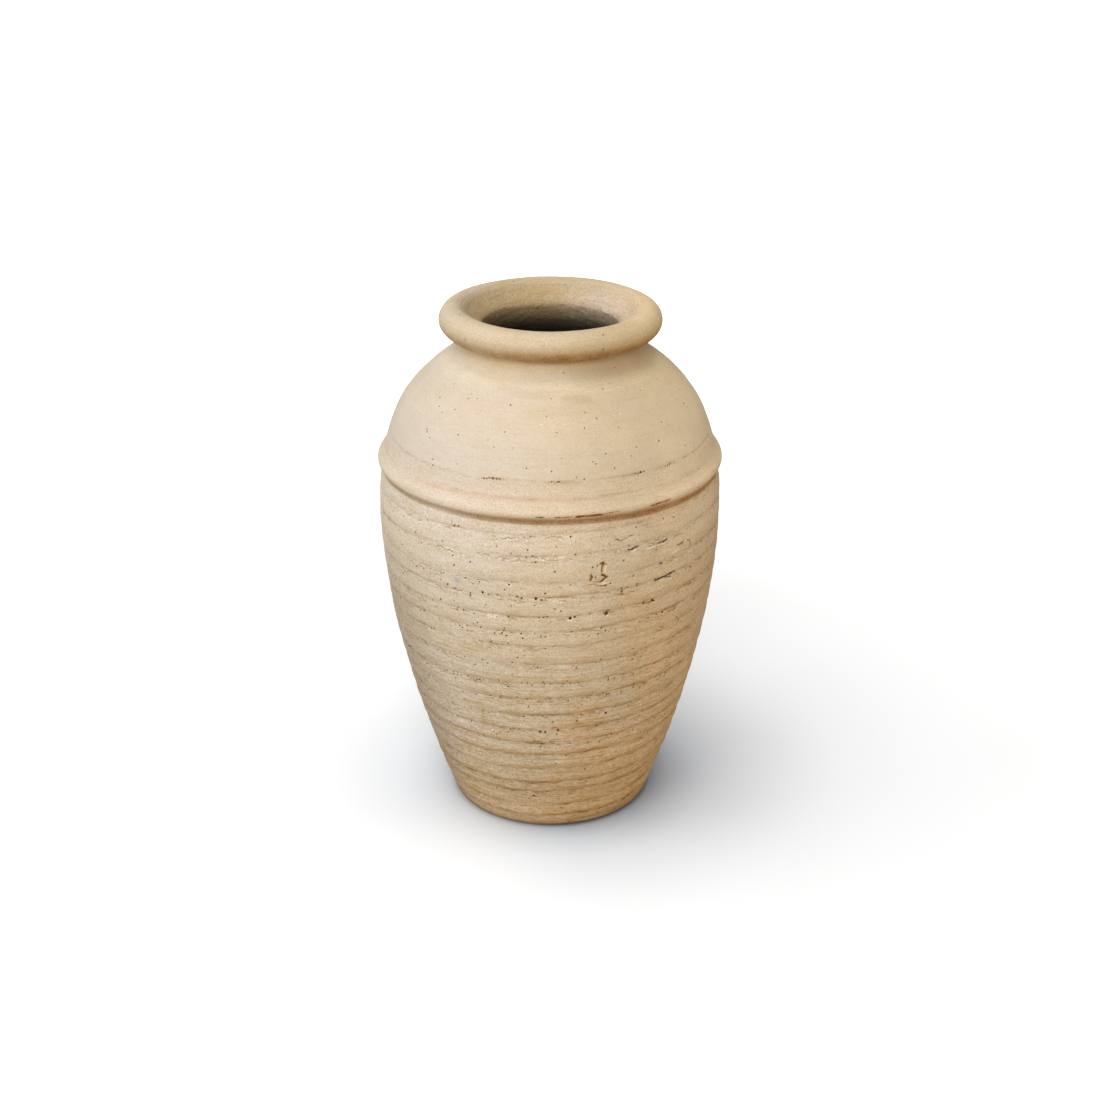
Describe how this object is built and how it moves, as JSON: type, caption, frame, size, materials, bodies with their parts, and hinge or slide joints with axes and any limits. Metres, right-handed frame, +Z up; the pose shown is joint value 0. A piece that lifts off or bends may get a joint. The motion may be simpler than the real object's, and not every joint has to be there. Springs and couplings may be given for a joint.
{
  "type": "vase",
  "caption": "Hand-thrown terracotta vase: spiral throwing ridges up to a raised belt, a smooth round shoulder, a short neck and a thick rolled rim, open at the top.",
  "frame": {"origin": "centre of the flat base, on the surface the vase stands on", "axes": "+Z up along the axis the vase was turned about; -Y is the side that the picture shows, and +X is to the picture's right"},
  "size_m": [0.2604, 0.2604, 0.4],
  "materials": {
    "ribbed_clay": "bare fired clay, matt, ridged by the potter's fingers",
    "smooth_clay": "bare fired clay, matt, wiped smooth, with pinholes"
  },
  "bodies": {
    "root": {"floor_slab": "ribbed_clay", "lower_wall": "ribbed_clay", "belt_coil": "smooth_clay", "shoulder_dome": "smooth_clay", "neck_collar": "smooth_clay", "rim_roll": "smooth_clay"}
  },
  "joints": []
}
